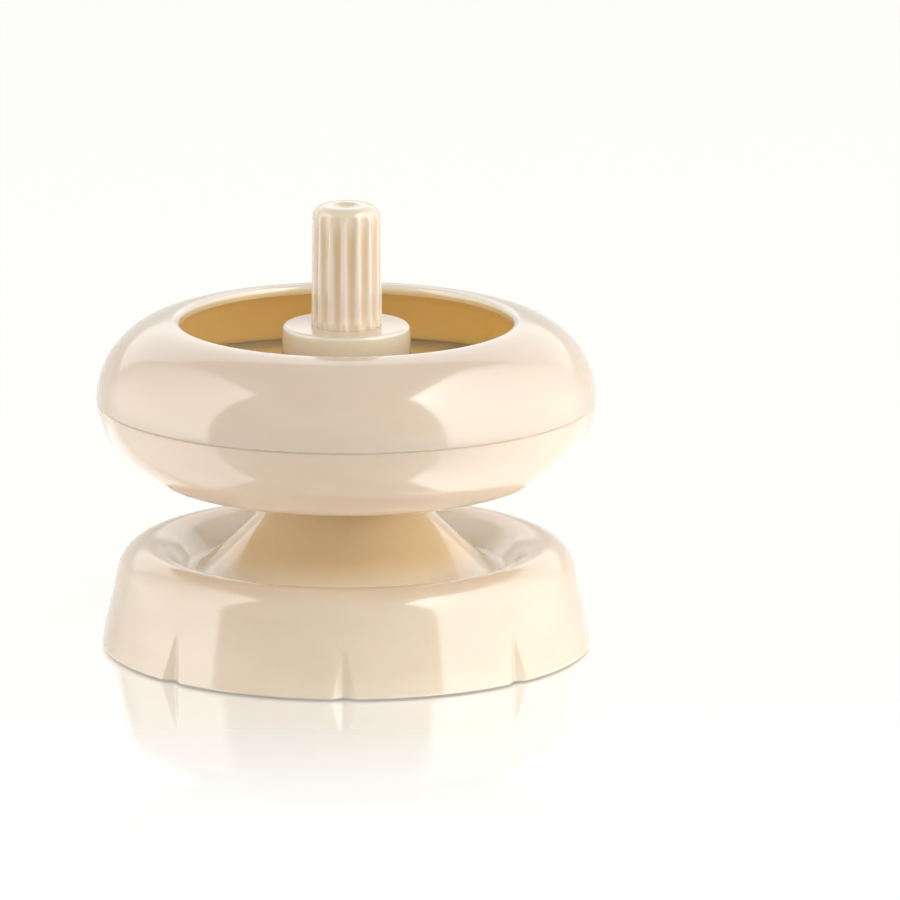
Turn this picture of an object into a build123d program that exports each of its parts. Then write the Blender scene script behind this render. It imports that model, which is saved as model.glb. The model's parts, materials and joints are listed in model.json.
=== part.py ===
from build123d import *
import math
import os

# A bead spinner: a round bowl that turns on a ball-bearing spindle, spun by a fluted knob.
# Every length is in millimetres and every angle in degrees.
# The origin is on the spin axis, on the surface that the feet stand on. Z points up, -Y is the front.

# Shared clearances
overrun = 1.0                # how far a cutting body runs past the face that it cuts
press_clearance = 0.02       # play around a piece that is pressed into its seat
slip_clearance = 0.05        # play around a piece that slides in by hand
thread_clearance = 0.05      # play between a screw and its tapped hole

# Base shell: skirt, rounded crest, valley and the cone that carries the spindle
cone_foot_radius = 34.4      # the valley's corner, where the cone meets the crest's inner flank
valley_reach = 9.2           # from the valley's corner out to the crest
crest_height = 22.8
shoulder_radius = 6.9        # round of the crest in section
skirt_draft = 12.1           # lean of the skirt from upright
crest_inner_slope = 50.0     # fall of the crest's inner flank
cone_top_radius = 13.0
cone_top_height = 35.5
cone_hollow = 0.35           # how far the cone's side is dished from straight
base_wall = 2.4
skirt_bottom = 0.3           # gap between the skirt and the table
skirt_edge_round = 0.6
valley_round = 2.0
cone_edge_round = 1.2

# Pinched notches round the skirt
notch_count = 8
notch_turn = -0.5            # the front notch lies a little left of centre
notch_length = 12.0
notch_half_width = 2.7
notch_depth = 1.5            # of the sharp crease, before it is rounded
notch_round = 1.3            # round of the crease

# Socket in the cone for the spindle, with its ribs
socket_wall = 4.0
socket_floor = 3.0
socket_bottom = 11.0
rib_thickness = 1.6
rib_bottom = 9.0
rib_count = 4

# Cover under the base, with its screws and feet
plate_thickness = 2.0
plate_bottom = 1.2
plate_gap = 0.3              # between the cover's edge and the skirt
plate_recess_radius = 30.0
plate_recess_depth = 0.5
plate_edge_round = 0.5
plate_screw_count = 4
plate_screw_ring = 43.0      # radius of the ring of screws
plate_screw_angle = 22.5     # direction of the first screw
plate_screw_radius = 1.5
plate_screw_head = 2.8
plate_screw_length = 10.0
screw_boss_radius = 3.6
foot_count = 4
foot_ring = 44.5
foot_angle = 67.5
foot_radius = 5.0
foot_thickness = 1.6
foot_round = 0.4

# Cross recess in each countersunk screw
recess_arm_share = 0.55      # reach of the recess beside the head's radius
recess_width_share = 0.28
recess_depth_share = 0.35

# Spindle of turned steel
shank_radius = 6.0
flange_radius = 9.0
flange_thickness = 2.0
hub_step = 0.55              # from the inner race's land down to what the race stands on
hub_length = 3.0
spindle_radius = 4.0
spindle_tip = 1.3            # spindle beyond the groove
spindle_chamfer = 0.6
groove_depth = 0.25
groove_width = 0.9

# Screw and washer that hold the spindle down
spindle_screw_radius = 2.5
spindle_screw_length = 14.0
spindle_screw_head_radius = 4.25
spindle_screw_head_height = 3.4
spindle_screw_socket = 2.0   # half of the hexagon across its flats
spindle_screw_socket_depth = 2.0
spindle_tap_depth = 12.0
washer_radius = 5.0
washer_thickness = 1.0

# Ball bearings, both the same
bearing_bore_radius = 4.0
bearing_outer_radius = 11.0
bearing_width = 7.0
ball_share = 0.2834          # a ball's radius beside the height from bore to rim
race_share = 0.293           # each race, from its bore or rim to its land, beside the same height
ball_count = 7
ball_clearance = 0.05        # play between a ball and its groove
race_chamfer = 0.3
shield_thickness = 0.3
shield_recess = 0.6          # width of the seat turned for a shield
shield_seat_depth = 0.55
shield_gap = 0.25            # running gap between a shield and the inner race
cage_share = 0.57            # of the space between the lands that the cage takes up
cage_above = 0.8             # cage above the balls' centre plane
cage_below = 2.5
pocket_clearance = 0.1

# Spacers between the bearings, and the ring that keeps them on the spindle
spacer_length = 8.0
outer_spacer_wall = 1.3
ring_thickness = 0.8
ring_radius = 5.6
ring_lug_radius = 1.1
ring_eye_radius = 0.5
ring_opening = 22.0          # half of the ring's open angle

# Bowl: lower and upper shells that meet at the seam
bowl_radius = 55.0
bowl_lift = 2.0              # from the cone's top up to the bowl's underside
bowl_height = 35.6
seam_rise = 17.8             # from the bowl's underside up to the seam
belly_radius = 19.7          # round of the lower shell in section
mouth_radius = 36.6
lip_round = 1.3
lip_under_round = 0.3
bowl_wall = 2.2
seam_groove = 0.3            # half of the seam line's width, and its depth
tongue_height = 2.0
tongue_thickness = 1.1

# Column inside the bowl
column_top_radius = 14.0
column_foot_radius = 14.8
column_rise = 34.5           # from the bowl's underside up to the column's top
column_top_wall = 3.0
column_edge_round = 0.9
column_foot_round = 10.0
seat_lip = 1.5               # step that stops the upper bearing

# Ring that holds the lower bearing up in the column
retainer_radius = 18.0
retainer_thickness = 2.0
retainer_bore_radius = 9.5
retainer_screw_count = 3
retainer_screw_ring = 14.6
retainer_screw_radius = 1.1
retainer_screw_head = 2.1
retainer_screw_length = 5.5
retainer_screw_angle = 90.0

# Fluted knob and the screw that holds it
knob_length = 26.8
knob_foot_radius = 7.8
knob_head_radius = 7.45
knob_top_round = 2.9
knob_dimple_radius = 2.8
knob_dimple_depth = 0.9
flute_count = 15
flute_radius = 2.2
flute_depth = 0.5
flute_turn = 8.0
spigot_radius = 5.0
knob_screw_radius = 2.0
knob_screw_length = 13.0
knob_screw_head_radius = 3.6
knob_screw_head_height = 2.4
knob_washer_radius = 5.5
knob_washer_thickness = 0.8

# Sizes that follow from the ones above
race_height = bearing_outer_radius - bearing_bore_radius
ball_radius = race_height * ball_share
ball_pitch_radius = bearing_bore_radius + race_height / 2
inner_land_radius = bearing_bore_radius + race_height * race_share
outer_land_radius = bearing_outer_radius - race_height * race_share
hub_radius = inner_land_radius - hub_step
crest_radius = cone_foot_radius + valley_reach
bowl_bottom = cone_top_height + bowl_lift
bowl_top = bowl_bottom + bowl_height
brow_radius = bowl_height - seam_rise    # the upper shell's round stands upright at the seam
seam_height = bowl_bottom + seam_rise
column_height = bowl_bottom + column_rise
knob_top = column_height + knob_length
socket_seat = socket_bottom + socket_floor
flange_top = cone_top_height + flange_thickness
lower_bearing = flange_top + hub_length
lower_bearing_top = lower_bearing + bearing_width
upper_bearing = lower_bearing_top + spacer_length
upper_bearing_top = upper_bearing + bearing_width
groove_top = upper_bearing_top + groove_width
spindle_top = groove_top + spindle_tip
column_ceiling = column_height - column_top_wall
plate_top = plate_bottom + plate_thickness


# Plain shapes used by many pieces

def disc(radius, low, high):
    """An upright cylinder on the spin axis."""
    upright = (Align.CENTER, Align.CENTER, Align.MIN)
    return Pos(0, 0, low) * Cylinder(radius, high - low, align=upright)


def ring(inner, outer, low, high):
    """An upright tube on the spin axis."""
    return disc(outer, low, high) - disc(inner, low - overrun, high + overrun)


def turned(outline):
    """A body turned about the spin axis from an outline of radius and height."""
    return revolve(Plane.XZ * outline, Axis.Z)


def around(piece, count, first_angle):
    """Copies of a piece spaced evenly about the spin axis."""
    return [Rot(0, 0, first_angle + 360 * step / count) * piece for step in range(count)]


def on_ring(piece, reach, count, first_angle):
    """Copies of a piece set evenly on a circle."""
    return around(Pos(reach, 0, 0) * piece, count, first_angle)


def without(body, cutters):
    """The body with each cutter taken away in turn."""
    for cutter in cutters:
        body = body - cutter
    return body


def joined(body, additions):
    """The body with each addition fused on in turn."""
    for addition in additions:
        body = body + addition
    return body


def rounded(section, corner, radius):
    """The section with the corner nearest a point rounded."""
    nearest = min(section.vertices(), key=lambda v: (Vector(v.X, v.Y) - Vector(corner.X, corner.Y)).length)
    return fillet(nearest, radius)


def countersunk_screw(radius, head_radius, length, face):
    """A cross-recess screw driven upward, its flat head level with the face below it."""
    cone_height = head_radius - radius
    head = Pos(0, 0, face) * Cone(
        head_radius, radius, cone_height, align=(Align.CENTER, Align.CENTER, Align.MIN)
    )
    shank = disc(radius, face, face + length)
    arm = 2 * head_radius * recess_arm_share
    width = 2 * head_radius * recess_width_share
    depth = 2 * head_radius * recess_depth_share
    blade = Pos(0, 0, face) * Box(arm, width, depth)
    return head + shank - blade - Rot(0, 0, 90) * blade


def countersunk_hole(radius, head_radius, face, high):
    """The hole that such a screw goes through, with its conical seat."""
    cone_height = head_radius - radius
    seat = Pos(0, 0, face) * Cone(
        head_radius + thread_clearance,
        radius + thread_clearance,
        cone_height,
        align=(Align.CENTER, Align.CENTER, Align.MIN),
    )
    return seat + disc(radius + thread_clearance, face - overrun, high)


# Base shell

def crest_point(angle, inset):
    """A point of the crest's round at an angle from level, moved inwards by an inset."""
    turn = math.radians(angle)
    centre = Vector(crest_radius, crest_height - shoulder_radius)
    return centre + Vector(math.cos(turn), math.sin(turn)) * (shoulder_radius - inset)


def cone_side(inset):
    """The cone's dished side from its top down to the table, moved inwards by an inset."""
    top = Vector(cone_top_radius, cone_top_height)
    flank_end = crest_point(90 + crest_inner_slope, 0)
    fall = (flank_end.X - cone_foot_radius) * math.tan(math.radians(crest_inner_slope))
    corner = Vector(cone_foot_radius, flank_end.Y - fall)
    chord = corner - top
    dish = chord.length**2 / (8 * cone_hollow) + cone_hollow / 2
    outward = Vector(-chord.Y, chord.X).normalized()
    centre = (top + corner) / 2 + outward * (dish - cone_hollow)
    radius = dish + inset
    top_angle = 180 + math.degrees(math.atan2(centre.Y - top.Y, centre.X - top.X))
    table_angle = 180 + math.degrees(math.asin(centre.Y / radius))
    return CenterArc(centre, radius, top_angle, table_angle - top_angle)


def base_outline(inset):
    """Half section of the base under its outer skin, moved inwards by an inset."""
    skirt_end = crest_point(skirt_draft, inset)
    flank_end = crest_point(90 + crest_inner_slope, inset)
    skirt_foot = Vector(skirt_end.X + skirt_end.Y * math.tan(math.radians(skirt_draft)), 0)
    flank_foot = Vector(flank_end.X - flank_end.Y / math.tan(math.radians(crest_inner_slope)), 0)
    crest = CenterArc(
        (crest_radius, crest_height - shoulder_radius),
        shoulder_radius - inset,
        skirt_draft,
        90 + crest_inner_slope - skirt_draft,
    )
    crest_face = make_face(
        [Line(skirt_foot, skirt_end), crest, Line(flank_end, flank_foot), Line(flank_foot, skirt_foot)]
    )
    side = cone_side(inset)
    cone_face = make_face([side, Polyline(side @ 1, (0, 0), (0, (side @ 0).Y), side @ 0)])
    whole = crest_face + cone_face
    inner = [v for v in whole.vertices() if cone_top_radius < v.X < crest_radius]
    raised = [v for v in inner if v.Y > skirt_bottom]
    valley = min(raised, key=lambda v: v.Y)
    return fillet(valley, valley_round + inset)


def skirt_radius(height):
    """Radius of the skirt's outer face at a height."""
    end = crest_point(skirt_draft, 0)
    return end.X + (end.Y - height) * math.tan(math.radians(skirt_draft))


def make_notch():
    """The wedge that cuts one pinched notch, its rounded crease running out up the skirt."""
    lean = math.radians(skirt_draft)
    foot = Vector(skirt_radius(0), 0, 0)
    deep = foot - Vector(math.cos(lean), 0, math.sin(lean)) * notch_depth
    tip = foot + Vector(-math.sin(lean), 0, math.cos(lean)) * notch_length
    along = (tip - deep).normalized()
    reach = notch_depth + overrun
    half = reach * notch_half_width / notch_depth
    wedge = make_face(Polyline((0, 0), (reach, -half), (reach, half), (0, 0)))
    wedge = fillet(wedge.vertices().sort_by(Axis.X)[0], notch_round)
    start = deep - along * overrun
    facing = Plane(origin=start, x_dir=Vector(along.Z, 0, -along.X), z_dir=along)
    return extrude(facing * wedge, notch_length + 2 * overrun)


def make_base_shell():
    outer = turned(base_outline(0))
    inner = turned(base_outline(base_wall))
    skin = outer - inner
    socket_radius = shank_radius + socket_wall
    rib = Pos(shank_radius, -rib_thickness / 2, rib_bottom) * Box(
        crest_radius, rib_thickness, crest_height, align=Align.MIN
    )
    boss = Pos(plate_screw_ring, 0, 0) * disc(screw_boss_radius, plate_top, crest_height)
    inside = [disc(socket_radius, socket_bottom, cone_top_height)]
    inside += around(rib, rib_count, plate_screw_angle)
    inside += around(boss, plate_screw_count, plate_screw_angle)
    filling = joined(inside[0], inside[1:]) & outer
    shell = skin + filling
    shell = shell - disc(shank_radius + slip_clearance, socket_seat, cone_top_height + overrun)
    shell = shell - disc(spindle_screw_radius + slip_clearance, 0, cone_top_height)
    tap = disc(plate_screw_radius + thread_clearance, 0, plate_bottom + plate_screw_length + overrun)
    shell = without(shell, on_ring(tap, plate_screw_ring, plate_screw_count, plate_screw_angle))
    shell = shell - disc(skirt_radius(0) + overrun, -overrun, skirt_bottom)
    circles = shell.edges().filter_by(GeomType.CIRCLE).group_by(Axis.Z)
    shell = fillet(circles[-1].sort_by(SortBy.RADIUS)[-1], cone_edge_round)
    circles = shell.edges().filter_by(GeomType.CIRCLE).group_by(Axis.Z)
    shell = fillet(circles[0].sort_by(SortBy.RADIUS)[-1], skirt_edge_round)
    return without(shell, around(make_notch(), notch_count, notch_turn - 90))


# Cover under the base, its screws and its feet

def make_base_plate():
    inner_radius = skirt_radius(plate_top) - base_wall / math.cos(math.radians(skirt_draft))
    edge = inner_radius - plate_gap
    plate = disc(edge, plate_bottom, plate_top)
    plate = fillet(plate.edges().sort_by(Axis.Z)[0], plate_edge_round)
    plate = plate - disc(plate_recess_radius, plate_bottom - overrun, plate_bottom + plate_recess_depth)
    hole = countersunk_hole(plate_screw_radius, plate_screw_head, plate_bottom, plate_top + overrun)
    seat = disc(foot_radius + slip_clearance, plate_bottom - overrun, foot_thickness)
    plate = without(plate, on_ring(hole, plate_screw_ring, plate_screw_count, plate_screw_angle))
    return without(plate, on_ring(seat, foot_ring, foot_count, foot_angle))


def make_plate_screws():
    screw = countersunk_screw(plate_screw_radius, plate_screw_head, plate_screw_length, plate_bottom)
    return on_ring(screw, plate_screw_ring, plate_screw_count, plate_screw_angle)


def make_foot_pads():
    pad = disc(foot_radius, 0, foot_thickness)
    pad = fillet(pad.edges().sort_by(Axis.Z)[0], foot_round)
    return on_ring(pad, foot_ring, foot_count, foot_angle)


# Spindle and what holds it

def make_spindle():
    groove_radius = spindle_radius - groove_depth
    spindle = disc(shank_radius, socket_seat, cone_top_height)
    spindle = spindle + disc(flange_radius, cone_top_height, flange_top)
    spindle = spindle + disc(hub_radius, flange_top, lower_bearing)
    spindle = spindle + disc(spindle_radius - press_clearance, lower_bearing, spindle_top)
    spindle = spindle - ring(groove_radius, flange_radius, upper_bearing_top, groove_top)
    spindle = chamfer(spindle.edges().sort_by(Axis.Z)[-1], spindle_chamfer)
    spindle = chamfer(spindle.edges().sort_by(Axis.Z)[0], spindle_chamfer)
    tap_radius = spindle_screw_radius + thread_clearance
    return spindle - disc(tap_radius, socket_seat - overrun, socket_seat + spindle_tap_depth)


def make_spindle_screw():
    seat = socket_bottom - washer_thickness
    head = disc(spindle_screw_head_radius, seat - spindle_screw_head_height, seat)
    head = chamfer(head.edges().sort_by(Axis.Z)[0], spindle_chamfer)
    socket = RegularPolygon(spindle_screw_socket, 6, major_radius=False)
    recess = Pos(0, 0, seat - spindle_screw_head_height) * extrude(socket, spindle_screw_socket_depth)
    return head + disc(spindle_screw_radius, seat, seat + spindle_screw_length) - recess


def make_spindle_washer():
    bore = spindle_screw_radius + slip_clearance
    return ring(bore, washer_radius, socket_bottom - washer_thickness, socket_bottom)


# Bearings

def make_inner_race(low):
    bore = bearing_bore_radius
    race = ring(bore, inner_land_radius, low, low + bearing_width)
    race = chamfer(race.edges().filter_by(GeomType.CIRCLE).group_by(SortBy.RADIUS)[0], race_chamfer)
    groove = Torus(ball_pitch_radius, ball_radius + ball_clearance)
    return race - Pos(0, 0, low + bearing_width / 2) * groove


def make_outer_race(low):
    high = low + bearing_width
    race = ring(outer_land_radius, bearing_outer_radius, low, high)
    race = chamfer(race.edges().filter_by(GeomType.CIRCLE).group_by(SortBy.RADIUS)[-1], race_chamfer)
    groove = Torus(ball_pitch_radius, ball_radius + ball_clearance)
    race = race - Pos(0, 0, low + bearing_width / 2) * groove
    seat_radius = outer_land_radius + shield_seat_depth
    race = race - disc(seat_radius, low - overrun, low + shield_recess)
    return race - disc(seat_radius, high - shield_recess, high + overrun)


def make_balls(low):
    ball = Pos(0, 0, low + bearing_width / 2) * Sphere(ball_radius)
    return on_ring(ball, ball_pitch_radius, ball_count, 0)


def make_cage(low):
    middle = low + bearing_width / 2
    half = (outer_land_radius - inner_land_radius) / 2 * cage_share
    inner, outer = ball_pitch_radius - half, ball_pitch_radius + half
    cage = ring(inner, outer, middle - cage_below, middle + cage_above)
    pocket = Pos(0, 0, middle) * Sphere(ball_radius + pocket_clearance)
    return without(cage, on_ring(pocket, ball_pitch_radius, ball_count, 0))


def make_shields(low):
    high = low + bearing_width
    inner = inner_land_radius + shield_gap
    outer = outer_land_radius + shield_seat_depth - press_clearance
    lower = ring(inner, outer, low + shield_recess - shield_thickness, low + shield_recess)
    upper = ring(inner, outer, high - shield_recess, high - shield_recess + shield_thickness)
    return [lower, upper]


def make_inner_spacer():
    bore = spindle_radius + slip_clearance
    return ring(bore, hub_radius, lower_bearing_top, upper_bearing)


def make_outer_spacer():
    outer = bearing_outer_radius - press_clearance
    return ring(outer - outer_spacer_wall, outer, lower_bearing_top, upper_bearing)


def make_retaining_ring():
    low = upper_bearing_top + slip_clearance
    high = low + ring_thickness
    inner = spindle_radius - groove_depth + slip_clearance
    clip = ring(inner, ring_radius, low, high)
    reach = 2 * ring_radius
    half = math.tan(math.radians(ring_opening)) * reach
    opening = extrude(make_face(Polyline((0, 0), (reach, -half), (reach, half), (0, 0))), high - low)
    clip = clip - Pos(0, 0, low) * opening
    lug_ring = ring_radius - ring_lug_radius / 2
    lug_turn = ring_opening + math.degrees(ring_lug_radius / lug_ring)
    for angle in (-lug_turn, lug_turn):
        lug = Rot(0, 0, angle) * Pos(lug_ring, 0, 0) * disc(ring_lug_radius, low, high)
        eye = Rot(0, 0, angle) * Pos(lug_ring, 0, 0) * disc(ring_eye_radius, low - overrun, high + overrun)
        clip = clip + lug - eye
    return clip


# Bowl

def belly_arc(inset, high):
    """The lower shell's round from its floor up to a height, moved inwards by an inset."""
    radius = belly_radius - inset
    centre = Vector(bowl_radius - belly_radius, bowl_bottom + belly_radius)
    rise = math.degrees(math.asin((high - centre.Y) / radius))
    return CenterArc(centre, radius, -90, 90 + rise)


def brow_centre():
    """Centre of the upper shell's round in section."""
    return Vector(bowl_radius - brow_radius, bowl_top - brow_radius)


def brow_arc(inset, low, high_angle):
    """The upper shell's round from a height up to an angle, moved inwards by an inset."""
    radius = brow_radius - inset
    fall = math.degrees(math.asin((low - brow_centre().Y) / radius))
    return CenterArc(brow_centre(), radius, fall, high_angle - fall)


def seam_cutter():
    """A ring of diamond section that leaves the fine line round the bowl."""
    edge = (belly_arc(0, seam_height) @ 1).X
    line = Polyline(
        (edge - seam_groove, seam_height),
        (edge, seam_height - seam_groove),
        (edge + seam_groove, seam_height),
        (edge, seam_height + seam_groove),
        close=True,
    )
    return turned(make_face(line))


def tongue_radius():
    """Outer radius of the tongue that the lower shell raises inside the upper one."""
    return (belly_arc(bowl_wall, seam_height) @ 1).X + tongue_thickness


def make_bowl_lower():
    rim = seam_height + tongue_height
    outer = belly_arc(0, rim)
    inner = belly_arc(bowl_wall, rim)
    floor = bowl_bottom + bowl_wall
    column = Polyline(
        inner @ 0,
        (column_foot_radius, floor),
        (column_top_radius, column_height),
        (0, column_height),
        (0, bowl_bottom),
        outer @ 0,
    )
    section = make_face([outer, Line(outer @ 1, inner @ 1), inner, column])
    section = rounded(section, Vector(column_foot_radius, floor), column_foot_round)
    section = rounded(section, Vector(column_top_radius, column_height), column_edge_round)
    bowl = turned(section)
    bowl = bowl - ring(tongue_radius(), bowl_radius + overrun, seam_height, rim + overrun)
    bowl = bowl - seam_cutter()
    seat = bearing_outer_radius + press_clearance
    bowl = bowl - disc(seat, bowl_bottom - overrun, upper_bearing_top)
    bowl = bowl - disc(bearing_outer_radius - seat_lip, bowl_bottom, column_ceiling)
    bowl = bowl - disc(spigot_radius + slip_clearance, bowl_bottom, column_height + overrun)
    bowl = bowl - disc(retainer_radius + slip_clearance, bowl_bottom - overrun, lower_bearing)
    tap_top = lower_bearing - retainer_thickness + retainer_screw_length + thread_clearance
    tap = disc(retainer_screw_radius + thread_clearance, bowl_bottom, tap_top)
    taps = on_ring(tap, retainer_screw_ring, retainer_screw_count, retainer_screw_angle)
    return without(bowl, taps)


def make_bowl_upper():
    lip_angle = math.degrees(math.acos((mouth_radius - brow_centre().X) / brow_radius))
    outer = brow_arc(0, seam_height, lip_angle)
    inner = brow_arc(bowl_wall, seam_height, lip_angle)
    section = make_face([outer, Line(outer @ 1, inner @ 1), inner, Line(inner @ 0, outer @ 0)])
    section = rounded(section, outer @ 1, lip_round)
    section = rounded(section, inner @ 1, lip_under_round)
    bowl = turned(section) - seam_cutter()
    groove_radius = tongue_radius() + slip_clearance
    groove_top_height = seam_height + tongue_height + slip_clearance
    return bowl - disc(groove_radius, seam_height - overrun, groove_top_height)


def make_bearing_retainer():
    low = lower_bearing - retainer_thickness
    plate = ring(retainer_bore_radius, retainer_radius, low, lower_bearing)
    hole = countersunk_hole(retainer_screw_radius, retainer_screw_head, low, lower_bearing + overrun)
    return without(plate, on_ring(hole, retainer_screw_ring, retainer_screw_count, retainer_screw_angle))


def make_retainer_screws():
    low = lower_bearing - retainer_thickness
    screw = countersunk_screw(retainer_screw_radius, retainer_screw_head, retainer_screw_length, low)
    return on_ring(screw, retainer_screw_ring, retainer_screw_count, retainer_screw_angle)


# Knob

def make_knob():
    height = knob_top - column_height
    lean = math.degrees(math.atan((knob_foot_radius - knob_head_radius) / height))
    body = Pos(0, 0, column_height) * Cone(
        knob_foot_radius, knob_head_radius, height, align=(Align.CENTER, Align.CENTER, Align.MIN)
    )
    body = fillet(body.edges().sort_by(Axis.Z)[-1], knob_top_round)
    dimple = (knob_dimple_radius**2 + knob_dimple_depth**2) / (2 * knob_dimple_depth)
    body = body - Pos(0, 0, knob_top - knob_dimple_depth + dimple) * Sphere(dimple)
    flute_reach = knob_foot_radius - flute_depth + flute_radius
    flute = Cylinder(
        flute_radius, height + 2 * overrun, align=(Align.CENTER, Align.CENTER, Align.MIN)
    )
    flute = Pos(flute_reach, 0, column_height - overrun) * Rot(0, -lean, 0) * flute
    body = without(body, around(flute, flute_count, flute_turn - 90))
    body = body + disc(spigot_radius, column_ceiling, column_height)
    tap_radius = knob_screw_radius + thread_clearance
    return body - disc(tap_radius, column_ceiling - overrun, column_ceiling + knob_screw_length)


def make_knob_screw():
    seat = column_ceiling - knob_washer_thickness
    head = disc(knob_screw_head_radius, seat - knob_screw_head_height, seat)
    head = fillet(head.edges().sort_by(Axis.Z)[0], knob_screw_head_height / 2)
    arm = 2 * knob_screw_head_radius * recess_arm_share
    width = 2 * knob_screw_head_radius * recess_width_share
    depth = 2 * knob_screw_head_radius * recess_depth_share
    blade = Pos(0, 0, seat - knob_screw_head_height) * Box(arm, width, depth)
    screw = head + disc(knob_screw_radius, seat, seat + knob_screw_length)
    return screw - blade - Rot(0, 0, 90) * blade


def make_knob_washer():
    low = column_ceiling - knob_washer_thickness
    return ring(knob_screw_radius + slip_clearance, knob_washer_radius, low, column_ceiling)


pieces = {
    "base_shell": make_base_shell(),
    "base_plate": make_base_plate(),
    "plate_screws": make_plate_screws(),
    "foot_pads": make_foot_pads(),
    "spindle": make_spindle(),
    "spindle_screw": make_spindle_screw(),
    "spindle_washer": make_spindle_washer(),
    "inner_spacer": make_inner_spacer(),
    "outer_spacer": make_outer_spacer(),
    "retaining_ring": make_retaining_ring(),
    "bowl_lower": make_bowl_lower(),
    "bowl_upper": make_bowl_upper(),
    "bearing_retainer": make_bearing_retainer(),
    "retainer_screws": make_retainer_screws(),
    "knob": make_knob(),
    "knob_screw": make_knob_screw(),
    "knob_washer": make_knob_washer(),
}
for side, low in (("lower", lower_bearing), ("upper", upper_bearing)):
    pieces[side + "_inner_race"] = make_inner_race(low)
    pieces[side + "_outer_race"] = make_outer_race(low)
    pieces[side + "_balls"] = make_balls(low)
    pieces[side + "_cage"] = make_cage(low)
    pieces[side + "_shields"] = make_shields(low)

os.makedirs("parts", exist_ok=True)
for name, piece in pieces.items():
    shape = Compound(children=piece) if isinstance(piece, list) else piece
    export_step(shape, "parts/" + name + ".step")
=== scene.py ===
# %% [markdown]
# # A bead spinner in glossy ABS
# The object is a wide moulded base, a ring-shaped bowl that turns above it and a fluted finger
# knob. The construction is already fixed: every piece comes in at its real size and place, and
# this lesson dresses the pieces. Lengths are written in millimetres and multiplied by MM, because
# Blender works in metres.

import json
import math

import bpy
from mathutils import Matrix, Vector


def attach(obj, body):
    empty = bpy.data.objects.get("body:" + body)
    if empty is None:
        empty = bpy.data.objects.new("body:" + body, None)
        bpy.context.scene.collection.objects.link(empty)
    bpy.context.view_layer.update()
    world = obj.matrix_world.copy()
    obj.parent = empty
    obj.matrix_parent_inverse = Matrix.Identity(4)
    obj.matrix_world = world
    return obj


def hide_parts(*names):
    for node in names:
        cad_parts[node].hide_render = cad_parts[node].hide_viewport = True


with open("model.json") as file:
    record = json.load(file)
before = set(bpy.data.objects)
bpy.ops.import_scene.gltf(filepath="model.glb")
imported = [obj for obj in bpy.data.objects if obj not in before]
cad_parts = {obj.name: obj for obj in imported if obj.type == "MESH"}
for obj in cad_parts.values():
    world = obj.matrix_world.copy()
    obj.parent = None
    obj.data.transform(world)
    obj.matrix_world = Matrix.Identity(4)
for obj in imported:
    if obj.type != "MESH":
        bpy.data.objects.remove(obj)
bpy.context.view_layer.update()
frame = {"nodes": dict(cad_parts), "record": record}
scene = bpy.context.scene
MM = 0.001

# %% [markdown]
# ## Camera
# The photograph looks slightly down on the spinner from far away, so circles show as flat
# ellipses. The camera stands straight in front, and the lens is shifted sideways to put the
# object left of the centre, because turning the camera would lean the upright axis.

# %% Place the camera
CAMERA_DISTANCE = 3000 * MM
CAMERA_ELEVATION = math.radians(12.95)
CAMERA_TARGET = Vector((0, 0, 43.65 * MM))
SENSOR = 36.0
FOCAL_LENGTH = 545.45
IMAGE_SIDE = 900.0
AXIS_COLUMN = 346.4

camera_data = bpy.data.cameras.new("camera")
camera_data.sensor_width = SENSOR
camera_data.lens = FOCAL_LENGTH
camera_data.shift_x = (IMAGE_SIDE / 2 - AXIS_COLUMN) / IMAGE_SIDE
camera = bpy.data.objects.new("camera", camera_data)
back = Vector((0, -math.cos(CAMERA_ELEVATION), math.sin(CAMERA_ELEVATION)))
camera.location = CAMERA_TARGET + back * CAMERA_DISTANCE
camera.rotation_euler = (math.pi / 2 - CAMERA_ELEVATION, 0, 0)
scene.collection.objects.link(camera)
scene.camera = camera
print("camera stands", round(camera.location.y, 3), "m out and", round(camera.location.z, 3), "m up")

# %% [markdown]
# ## Helpers for colour and nodes
# Paint charts and photographs give colours as sRGB hex values, while shaders compute with linear
# light. One function turns the first into the second. Another adds a node with its settings and
# links, so that each material below reads as a short list.

# %% Colour and node helpers
def hex_colour(value):
    """An sRGB hex colour as linear red, green, blue and full alpha."""
    channels = [int(value[i:i + 2], 16) / 255 for i in (0, 2, 4)]
    linear = [c / 12.92 if c <= 0.04045 else ((c + 0.055) / 1.055) ** 2.4 for c in channels]
    return (*linear, 1.0)


def add_node(tree, kind, settings=None, inputs=None, links=None):
    """Adds one node, sets its properties and socket values, and links sockets to outputs."""
    node = tree.nodes.new(kind)
    for name, value in (settings or {}).items():
        setattr(node, name, value)
    for name, value in (inputs or {}).items():
        node.inputs[name].default_value = value
    for name, output in (links or {}).items():
        tree.links.new(output, node.inputs[name])
    return node


def new_material(name):
    """An empty node material and its tree."""
    material = bpy.data.materials.new(name)
    material.use_nodes = True
    material.node_tree.nodes.clear()
    return material, material.node_tree


print("cream in linear light:", [round(c, 3) for c in hex_colour("ECD8C1")[:3]])

# %% [markdown]
# ## Floor and backdrop
# A product shot stands on a white acrylic sheet: it keeps a soft shadow and a mirror image that
# fades away from the object. The white comes from the sheet's own colour as the camera and the
# reflections see it, and no extra light is thrown on the object for it. The mirror part is mixed
# in by the distance towards the viewer, measured in the sheet's own coordinates.

# %% Floor
FLOOR_HALF = 3.0
FADE_START = 40 * MM
FADE_END = 165 * MM
MIRROR_SHARE = 0.65
MIRROR_ROUGHNESS = 0.07
SHEET_WHITE = 0.76
SHEET_SHADE = (0.34, 0.34, 0.34, 1)
SHEET_BOUNCE = (0.55, 0.55, 0.55, 1)

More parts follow.
